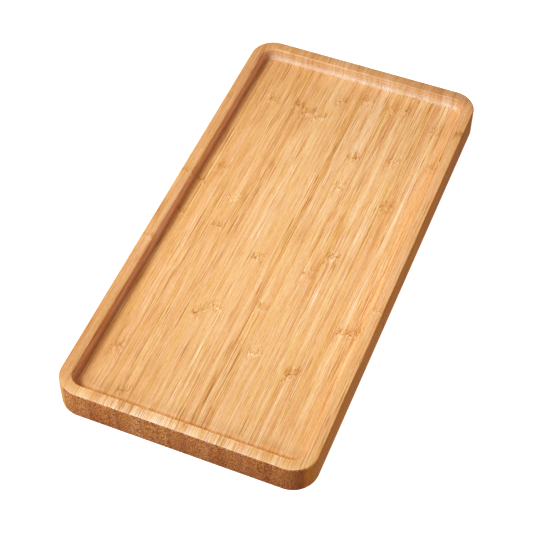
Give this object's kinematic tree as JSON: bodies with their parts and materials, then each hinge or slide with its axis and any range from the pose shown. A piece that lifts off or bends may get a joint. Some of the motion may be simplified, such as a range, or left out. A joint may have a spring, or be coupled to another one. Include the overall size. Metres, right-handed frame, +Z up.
{
  "type": "serving tray",
  "caption": "Rectangular bamboo serving tray: a board of glued strips on edge, with rounded corners, a low rim and a shallow round-footed recess.",
  "frame": {"origin": "middle of the flat underside, which is the middle of the bounding box's bottom face", "axes": "+X across the strips to the right, +Y along the strips from the near end to the far end, +Z up out of the recess"},
  "size_m": [0.15, 0.3, 0.02],
  "materials": {
    "pale_bamboo": "satin",
    "honey_bamboo": "satin",
    "golden_bamboo": "satin",
    "amber_bamboo": "satin"
  },
  "bodies": {
    "root": {"edge_strip_left": "amber_bamboo", "strip_02": "amber_bamboo", "strip_03": "honey_bamboo", "strip_04": "golden_bamboo", "strip_05": "honey_bamboo", "strip_06": "golden_bamboo", "strip_07": "honey_bamboo", "strip_08": "pale_bamboo", "strip_09": "honey_bamboo", "strip_10": "golden_bamboo", "strip_11": "pale_bamboo", "strip_12": "pale_bamboo", "strip_13": "golden_bamboo", "strip_14": "honey_bamboo", "strip_15": "pale_bamboo", "strip_16": "golden_bamboo", "strip_17": "pale_bamboo", "strip_18": "golden_bamboo", "edge_strip_right": "amber_bamboo"}
  },
  "joints": []
}
